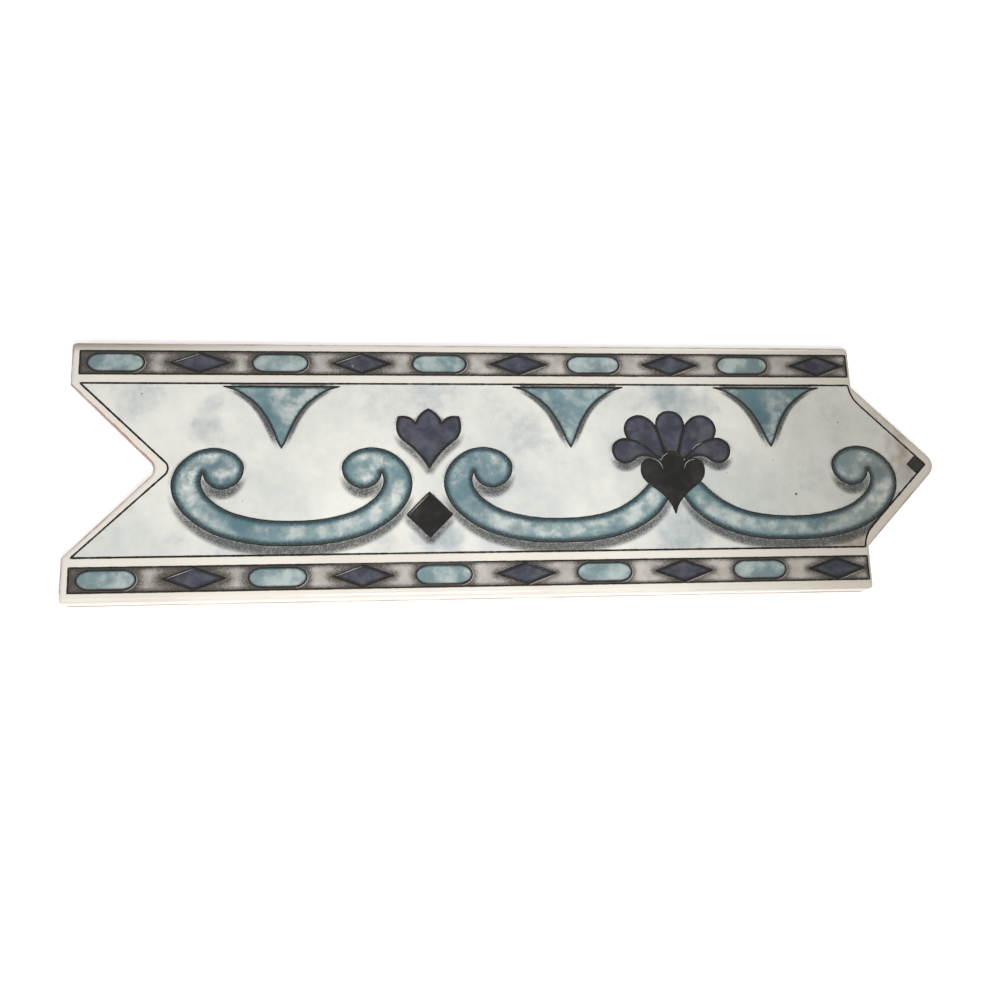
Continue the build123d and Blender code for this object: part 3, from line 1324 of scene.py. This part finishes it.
def cast_down(walls, reach, x, y):
    """How deep a point lies in the shadow that outlines cast straight down, softened to the sides."""
    total = 0.0
    for shift in SHADOW_SHIFTS:
        gap = walls.ray_cast((x + shift, y, 0.0), (0.0, 1.0, 0.0), reach)[3]
        if gap is not None:
            total += 1 - soft_step(SHADOW_FADE_START * reach, reach, gap)
    return total / len(SHADOW_SHIFTS)


def shadow_depth():
    """Function that gives how deep a point of the field lies in the shadows of the motifs."""
    face = bpy.context.scene.tile_face
    drop = face.shadow_drop / MM
    edge = PENDANT_SHADOW_EDGE * face.shadow_blur / MM
    scrolls = edge_walls(scroll_outlines())
    small = edge_walls([bud_outline(), black_diamond_outline(), *both_petals(LOWER_PETAL)])
    pendants = pendant_outlines()
    sides = [flat_cover([moved(p, dx, dy) for p in pendants]) for dx, dy in PENDANT_SHADOW_SHIFTS]

    def depth(x, y):
        below_scrolls = cast_down(scrolls, SCROLL_SHADOW_REACH * drop, x, y)
        below_small = cast_down(small, SMALL_SHADOW_REACH * drop, x, y)
        beside = 1 - soft_step(0.0, edge, min(distance(side, x, y) for side in sides))
        beside *= 1 - soft_step(*PENDANT_SHADOW_TOP, y)
        beside *= PENDANT_SHADOW_LEAST + (1 - PENDANT_SHADOW_LEAST) * soft_step(*PENDANT_SHADOW_TIP, y)
        return max(SHADOW_STRENGTH * max(below_scrolls, below_small), PENDANT_SHADOW_STRENGTH * beside)

    return depth


class TILE_OT_field(bpy.types.Operator):
    """Lay the clouded ground of the field, with the shadows of its motifs"""

    bl_idname = "tile.field"
    bl_label = "Lay the field"

    def execute(self, context):
        noise.seed_set(BLOTCH_SEED)
        painted(
            "painted_field",
            [frame_outline()],
            FIELD_LEVEL,
            FIELD_SPACING,
            glazed_material("Clouded field", field_colour),
            shadow=shadow_depth(),
            cloud=lambda x, y: blotches(CLOUDS, x, y),
            stain=lambda x, y: blotches(STAINS, x, y),
        )
        return {"FINISHED"}


def band_darkness(outlines):
    """Function that gives how dark a point of the bands is: more so by beads and edges, and at the left."""
    beads = flat_cover(bead_outlines())
    edge_gap = rim_of(outlines)

    def dark(x, y):
        left_half = 1 - soft_step(LEFT_DARK_FULL, LEFT_DARK_FROM, x)
        from_bead = BEAD_DARK * (1 - soft_step(0.0, BEAD_DARK_REACH + left_half, distance(beads, x, y)))
        from_edge = EDGE_DARK * (1 - soft_step(0.0, EDGE_DARK_REACH, edge_gap(x, y)))
        return 1 - (1 - from_bead) * (1 - from_edge) * (1 - LEFT_DARK * left_half)

    return dark


class TILE_OT_bands(bpy.types.Operator):
    """Lay the grounds of the two beaded bands"""

    bl_idname = "tile.bands"
    bl_label = "Lay the bands"

    def execute(self, context):
        outlines = [band_outline(1), band_outline(-1)]
        ground = glazed_material("Band ground", band_colour)
        painted("band_grounds", outlines, FIELD_LEVEL, MOTIF_SPACING, ground, dark=band_darkness(outlines))
        return {"FINISHED"}


class TILE_OT_beads(bpy.types.Operator):
    """Set the oval and lozenge beads along both bands"""

    bl_idname = "tile.beads"
    bl_label = "Set the beads"

    def execute(self, context):
        bead_rows("oval_beads", oval_outline(), OVAL_FIRST_X, glazed_material("Oval wash", oval_colour))
        indigo = glazed_material("Lozenge indigo", indigo_colour)
        bead_rows("lozenge_beads", lozenge_outline(), LOZENGE_FIRST_X, indigo)
        return {"FINISHED"}


class TILE_OT_scrolls(bpy.types.Operator):
    """Paint the scrolls"""

    bl_idname = "tile.scrolls"
    bl_label = "Paint the scrolls"

    def execute(self, context):
        outlines = scroll_outlines()
        teal = glazed_material("Scroll wash", scroll_colour)
        painted("scrolls", outlines, MOTIF_LEVEL, SCROLL_SPACING, teal, rim=rim_of(outlines))
        return {"FINISHED"}


class TILE_OT_pendants(bpy.types.Operator):
    """Paint the pendants that hang from the frame line"""

    bl_idname = "tile.pendants"
    bl_label = "Paint the pendants"

    def execute(self, context):
        outlines = pendant_outlines()
        teal = glazed_material("Pendant wash", pendant_colour)
        painted("pendants", outlines, MOTIF_LEVEL, MOTIF_SPACING, teal, rim=rim_of(outlines))
        return {"FINISHED"}


class TILE_OT_palmette(bpy.types.Operator):
    """Paint the palmette's petals and heart, and the bud and the diamonds"""

    bl_idname = "tile.palmette"
    bl_label = "Paint the palmette"

    def execute(self, context):
        indigo = glazed_material("Petal indigo", indigo_colour)
        for name, outlines, level in (
            ("centre_petal", [centre_petal_outline()], MOTIF_LEVEL),
            ("upper_petals", both_petals(UPPER_PETAL), UPPER_PETAL_LEVEL),
            ("lower_petals", both_petals(LOWER_PETAL), LOWER_PETAL_LEVEL),
            ("bud", [bud_outline()], MOTIF_LEVEL),
        ):
            painted(name, outlines, level, MOTIF_SPACING, indigo, rim=rim_of(outlines))
        black = glazed_material("Black glaze", black_colour)
        painted("heart", [heart_outline()], HEART_LEVEL, MOTIF_SPACING, black)
        diamonds = [black_diamond_outline(), tip_diamond_outline()]
        painted("diamonds", diamonds, MOTIF_LEVEL, MOTIF_SPACING, black, wear=tip_wear)
        return {"FINISHED"}


def tip_wear(x, y):
    """How worn the black is: only the small diamond in the tip is."""
    return 0.5 * soft_step(0.0, TIP_DIAMOND_X - 4, x)


class TILE_OT_ink(bpy.types.Operator):
    """Draw the ink lines of the frame, the bands and every motif"""

    bl_idname = "tile.ink"
    bl_label = "Draw the ink lines"

    def execute(self, context):
        ink = glazed_material("Ink", ink_colour)
        tops = lines_across(PENDANT_HALF_WIDTH, PENDANT_TOP)
        frame_lines = lines_along([frame_outline()], INK_LEVEL, "frame")
        frame_lines += lines_along(tops, INK_LEVEL, "pendant top", closed=False)
        frame_lines += lines_along(pendant_caps(), INK_LEVEL, "cap", closed=False, tapered=True)
        strokes("frame_line", frame_lines, ink)
        bands = lines_along([band_outline(1), band_outline(-1)], INK_LEVEL, "band")
        strokes("band_lines", bands + lines_along(bead_outlines(), INK_LEVEL, "bead"), ink)
        motifs = []
        for outlines, level, width in (
            (scroll_outlines() + pendant_outlines(), INK_LEVEL, "scroll"),
            ([bud_outline(), black_diamond_outline(), tip_diamond_outline()], INK_LEVEL, "bud"),
            ([centre_petal_outline()], INK_LEVEL, "petal"),
            (both_petals(UPPER_PETAL), UPPER_PETAL_LEVEL + 1, "petal"),
            (both_petals(LOWER_PETAL), LOWER_PETAL_LEVEL + 1, "petal"),
            ([heart_outline()], HEART_LEVEL + 1, "heart"),
        ):
            motifs += lines_along(outlines, level, width)
        strokes("motif_lines", motifs, ink)
        return {"FINISHED"}


def bead_glints():
    """Thin pale lines beside the lozenge beads and the black diamond.

    They lie above left on the left half of the tile, and below right on its right half.
    """
    lines = []
    for x, y in bead_places(LOZENGE_FIRST_X):
        if x < GLINTS_TURN_X:
            ends = [(x - LOZENGE_HALF_LENGTH + 1.0, y + 0.1), (x - 0.2, y + LOZENGE_HALF_HEIGHT - 0.4)]
        else:
            ends = [(x + 0.6, y - LOZENGE_HALF_HEIGHT - 0.2), (x + LOZENGE_HALF_LENGTH - 0.3, y - 0.45)]
        lines.append(ends)
    lines.append([(DIAMOND_X - 5.1, DIAMOND_Y + 0.1), (DIAMOND_X - 0.3, DIAMOND_Y + 5.0)])
    return [straight_run(ends) for ends in lines]


def oval_glints():
    """Thin pale arcs at the right ends of the oval beads, outside their outlines."""
    start_x = OVAL_HALF_LENGTH - OVAL_END_REACH + 0.4
    end = [(x * 1.045, y * 1.16) for x, y in oval_outline() if x > start_x]
    end = [(x, y) for x, y in end if y < 1.5]
    return [moved(end, x, y) for x, y in bead_places(OVAL_FIRST_X)]


def heart_glints():
    """Thin pale arcs on the shoulders of the heart's lobes and on the right lower petal."""
    return [moved(smooth_run(arc), PALMETTE_X) for arc in HEART_GLINTS]


def pendant_caps():
    """Middle lines of the strips between the frame line and the tops of the pendants."""
    return lines_across(CAP_HALF_LENGTH, (FRAME_HALF + PENDANT_TOP) / 2)


class TILE_OT_glints(bpy.types.Operator):
    """Draw the thin pale lines beside the beads and on the heart"""

    bl_idname = "tile.glints"
    bl_label = "Draw the pale lines"

    def execute(self, context):
        lines = []
        for runs, level, width in (
            (bead_glints() + oval_glints(), INK_LEVEL + 1, "glint"),
            (heart_glints(), HEART_LEVEL + 2, "glint"),
            (pendant_caps(), INK_LEVEL + 1, "pale cap"),
        ):
            lines += lines_along(runs, level, width, closed=False, tapered=True)
        strokes("pale_lines", lines, glazed_material("Pale lines", light_colour))
        return {"FINISHED"}


class TILE_OT_specks(bpy.types.Operator):
    """Dot the dark specks that were fired into the glaze"""

    bl_idname = "tile.specks"
    bl_label = "Dot the specks"

    def execute(self, context):
        outlines = [arc_run((x, y), radius, 0, 360, radius / 3)[:-1] for x, y, radius in SPECKS]
        painted("specks", outlines, INK_LEVEL + 1, None, glazed_material("Specks", speck_colour))
        return {"FINISHED"}


class TILE_OT_stage(bpy.types.Operator):
    """Set the floor, the lights and the camera"""

    bl_idname = "tile.stage"
    bl_label = "Set the stage"

    def execute(self, context):
        settings = context.scene.tile_stage
        lay_floor()
        set_sky(settings.sky)
        for name, place, target, size in LAMPS:
            add_lamp(name + "_lamp", place, target, size, getattr(settings, name + "_power"))
        set_camera(settings)
        context.scene.view_settings.view_transform = "Standard"
        return {"FINISHED"}


def lay_floor():
    """A wide pale floor that the tile lies on. It is clear from below, to show the tile's back."""
    corners = [(FLOOR_HALF * x, FLOOR_HALF * y, 0.0) for x, y in ((-1, -1), (1, -1), (1, 1), (-1, 1))]
    floor = new_piece("floor", corners, [], [(0, 1, 2, 3)])
    floor.location.z = LOW.z
    material, tree = empty_material("Pale floor")
    pale_inputs = {
        "Base Color": (0.93, 0.93, 0.93, 1.0),
        "Roughness": 0.9,
        "Emission Color": WHITE,
        "Emission Strength": 0.45,
    }
    pale = add_node(tree, "ShaderNodeBsdfPrincipled", pale_inputs).outputs["BSDF"]
    clear = add_node(tree, "ShaderNodeBsdfTransparent").outputs["BSDF"]
    from_below = add_node(tree, "ShaderNodeNewGeometry").outputs["Backfacing"]
    mix = add_node(tree, "ShaderNodeMixShader", {0: from_below, 1: pale, 2: clear})
    add_node(tree, "ShaderNodeOutputMaterial", {"Surface": mix.outputs["Shader"]})
    floor.data.materials.append(material)


def set_sky(strength):
    """Plain white light from all round."""
    world = bpy.data.worlds.new("sky")
    world.use_nodes = True
    background = world.node_tree.nodes["Background"]
    background.inputs["Color"].default_value = WHITE
    background.inputs["Strength"].default_value = strength
    bpy.context.scene.world = world


def add_lamp(name, place, target, size, power):
    """A square soft lamp that shines at a target."""
    light = bpy.data.lights.new(name, "AREA")
    light.size = size
    light.energy = power
    lamp = scene_object(name, light)
    aim = Vector(target) - Vector(place)
    lamp.location = place
    lamp.rotation_euler = aim.to_track_quat("-Z", "Y").to_euler()


def set_camera(settings):
    """The camera that took the photograph: its place, turn and lens."""
    data = bpy.data.cameras.new("camera")
    data.lens = settings.lens
    data.sensor_width = 36.0
    data.clip_start = 0.01
    camera = scene_object("camera", data)
    turn = Vector(settings.camera_turn)
    to_camera = Matrix.Rotation(turn.length, 4, turn.normalized())
    camera.matrix_world = Matrix.Translation(Vector(settings.camera_place)) @ to_camera.transposed()
    bpy.context.scene.camera = camera


OPERATORS = (
    TILE_OT_stage,
    TILE_OT_body,
    TILE_OT_field,
    TILE_OT_bands,
    TILE_OT_beads,
    TILE_OT_scrolls,
    TILE_OT_pendants,
    TILE_OT_palmette,
    TILE_OT_ink,
    TILE_OT_glints,
    TILE_OT_specks,
)


class TILE_PT_painter(bpy.types.Panel):
    """Sidebar panel with the steps in order, and then the settings"""

    bl_label = "Border tile"
    bl_idname = "TILE_PT_painter"
    bl_space_type = "VIEW_3D"
    bl_region_type = "UI"
    bl_category = "Tile"

    def draw(self, context):
        for operator in OPERATORS:
            self.layout.operator(operator.bl_idname)
        for group, settings in SETTINGS.items():
            box = self.layout.box()
            for name in settings.__annotations__:
                box.prop(getattr(context.scene, group), name)


SETTINGS = {
    "tile_face": TileFaceSettings,
    "tile_bands": TileBandSettings,
    "tile_colours": TileColourSettings,
    "tile_stage": TileStageSettings,
}
CLASSES = (*SETTINGS.values(), *OPERATORS, TILE_PT_painter)


def register():
    """Register the classes and hang the settings on the scene."""
    for item in CLASSES:
        bpy.utils.register_class(item)
    for name, settings in SETTINGS.items():
        setattr(bpy.types.Scene, name, PointerProperty(type=settings))


def unregister():
    """Take the settings and the classes away again."""
    for name in SETTINGS:
        delattr(bpy.types.Scene, name)
    for item in reversed(CLASSES):
        bpy.utils.unregister_class(item)


def main():
    """Make the whole tile."""
    register()
    for operator in OPERATORS:
        category, name = operator.bl_idname.split(".")
        getattr(getattr(bpy.ops, category), name)()


if __name__ == "__main__":
    main()
